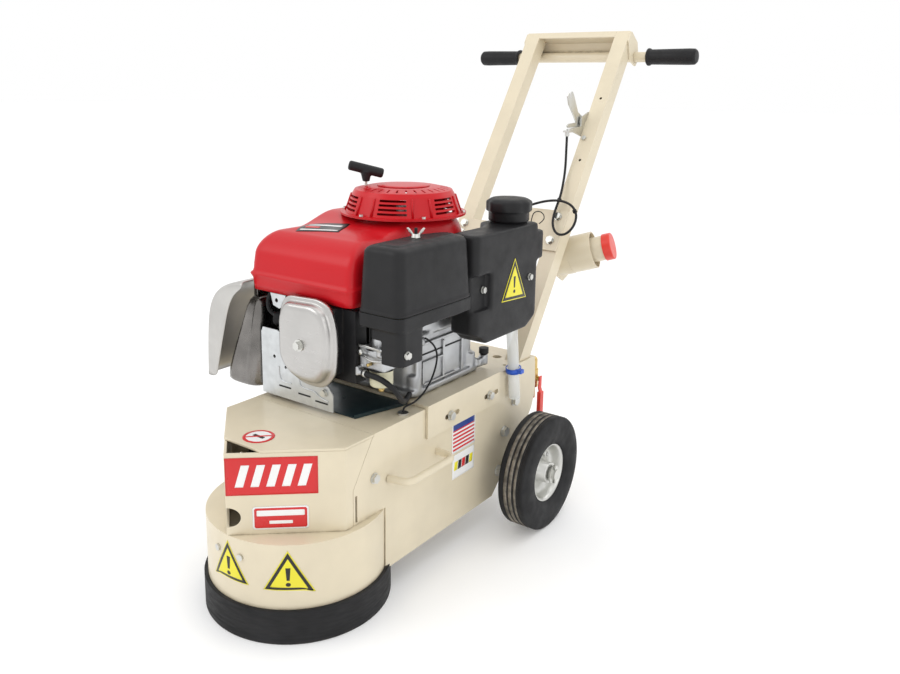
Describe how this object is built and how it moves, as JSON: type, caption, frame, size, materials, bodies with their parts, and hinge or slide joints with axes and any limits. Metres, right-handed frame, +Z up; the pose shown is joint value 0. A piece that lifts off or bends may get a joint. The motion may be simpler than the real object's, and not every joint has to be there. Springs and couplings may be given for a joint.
{
  "type": "concrete grinder",
  "caption": "Walk-behind concrete floor grinder: steel drum with rubber skirt, belt-driven disc, petrol engine, two wheels, dust outlet and leaning twin-tube handle.",
  "frame": {"origin": "middle of the bounding box's footprint, on the floor", "axes": "+Y from the grinding head back to the handle, +X to the operator's left-hand side, +Z up"},
  "size_m": [0.534, 1.0799, 0.9222],
  "materials": {
    "cream_paint": "satin powder coat",
    "red_paint": "gloss enamel",
    "skirt_rubber": "matt moulded rubber",
    "tyre_rubber": "ribbed tyre",
    "zinc": "zinc plated",
    "machined_steel": "turned",
    "cast_iron": "as cast",
    "aluminium": "die cast",
    "polished_steel": "polished",
    "galvanised": "galvanised",
    "silencer_steel": "dull aluminised",
    "shield_steel": "smooth bright sheet",
    "dark_sheet": "dark semi-gloss",
    "black_plastic": "fine textured",
    "black_enamel": "heat-resistant enamel",
    "black_rubber": "smooth",
    "belt_rubber": "wrapped V-belt",
    "red_plastic": "dipped vinyl",
    "cream_casting": "moulded",
    "brass": "machined",
    "clear_tube": "translucent vinyl",
    "filter_paper": "pleated",
    "diamond_grit": "sintered",
    "rope": "braided"
  },
  "bodies": {
    "chassis": {"drum": "cream_paint", "skirt": "skirt_rubber", "bearing_housing": "cast_iron", "drive_belt": "belt_rubber", "chassis_sides": "cream_paint", "deck": "cream_paint", "nose_guard": "cream_paint", "lid": "cream_paint", "bolts": "zinc", "lift_handles": "cream_paint", "adjuster_plate": "cream_paint", "axle": "zinc", "uprights": "cream_paint", "cross_channel": "cream_paint", "handlebar": "cream_paint", "grips": "black_rubber", "mid_plate": "cream_paint", "dust_pipe": "cream_paint", "dust_stub": "cream_paint", "throttle_mount": "zinc", "throttle_cable": "black_plastic", "cord_clips": "zinc", "crankcase": "aluminium", "cylinder": "black_enamel", "valve_cover": "polished_steel", "front_bracket": "galvanised", "base_sheet": "dark_sheet", "fan_cover": "red_paint", "starter_housing": "red_paint", "starter_rope": "rope", "muffler": "silencer_steel", "heat_shield": "shield_steel", "plug_boot": "black_rubber", "air_cleaner_base": "black_plastic", "filter_element": "filter_paper", "carburettor": "aluminium", "float_bowl": "cream_casting", "fuel_hose": "black_rubber", "fuel_tank": "black_plastic", "kill_wire": "black_rubber", "clear_hose": "clear_tube", "water_valve": "brass"},
    "wheel_left": {"tyre_left": "tyre_rubber", "rim_left": "zinc"},
    "wheel_right": {"tyre_right": "tyre_rubber", "rim_right": "zinc"},
    "spindle": {"spindle_shaft": "machined_steel", "spindle_pulley": "cast_iron", "tool_disc": "machined_steel", "diamond_shoes": "diamond_grit"},
    "crank": {"crankshaft": "machined_steel", "flywheel": "aluminium"},
    "throttle_arm": {"throttle_lever": "zinc"},
    "pull_grip": {"starter_grip": "black_plastic"},
    "filler_cap": {"fuel_cap": "black_plastic"},
    "outlet_cap": {"dust_cap": "red_plastic"},
    "air_cover": {"air_cleaner_cover": "black_plastic"},
    "cover_nut": {"wing_nut": "zinc"},
    "water_lever": {"valve_lever": "red_plastic"},
    "oil_plug": {"oil_cap": "black_plastic"}
  },
  "joints": [
    {"name": "wheel_left_spin", "type": "hinge", "parent": "chassis", "child": "wheel_left", "pos_m": [0.2017, 0.032, 0.1054], "axis": [1, 0, 0], "continuous": true},
    {"name": "wheel_right_spin", "type": "hinge", "parent": "chassis", "child": "wheel_right", "pos_m": [-0.2017, 0.032, 0.1054], "axis": [1, 0, 0], "continuous": true},
    {"name": "spindle_spin", "type": "hinge", "parent": "chassis", "child": "spindle", "pos_m": [0, -0.3913, 0.12], "axis": [0, 0, 1], "continuous": true},
    {"name": "crank_spin", "type": "hinge", "parent": "chassis", "child": "crank", "pos_m": [0, -0.124, 0.4], "axis": [0, 0, 1], "continuous": true},
    {"name": "throttle", "type": "hinge", "parent": "chassis", "child": "throttle_arm", "pos_m": [0.0855, 0.3657, 0.732], "axis": [1, 0, 0], "range_deg": [-60, 0]},
    {"name": "starter_pull", "type": "slide", "parent": "chassis", "child": "pull_grip", "axis": [0, 0, 1], "range_m": [0, 0.5], "stiffness_N_per_m": 8, "springref_m": -0.35},
    {"name": "fuel_cap_turn", "type": "hinge", "parent": "chassis", "child": "filler_cap", "pos_m": [0.128, 0.0167, 0.59], "axis": [0, 0, 1], "range_deg": [0, 90]},
    {"name": "dust_cap_pull", "type": "slide", "parent": "chassis", "child": "outlet_cap", "axis": [0.9237, 0.2475, 0.2924], "range_m": [0, 0.045]},
    {"name": "air_cover_lift", "type": "slide", "parent": "chassis", "child": "air_cover", "axis": [0, 0, 1], "range_m": [0, 0.12]},
    {"name": "wing_nut_turn", "type": "hinge", "parent": "air_cover", "child": "cover_nut", "pos_m": [0.126, -0.2513, 0.58], "axis": [0, 0, 1], "continuous": true},
    {"name": "water_valve_turn", "type": "hinge", "parent": "chassis", "child": "water_lever", "pos_m": [0.1278, 0.1567, 0.232], "axis": [1, 0, 0], "range_deg": [0, 90]},
    {"name": "oil_cap_turn", "type": "hinge", "parent": "chassis", "child": "oil_plug", "pos_m": [0.097, -0.0063, 0.326], "axis": [0, 0, 1], "continuous": true}
  ],
  "couplings": [
    {"joint": "crank_spin", "follows": "spindle_spin", "ratio": 2.1053}
  ]
}
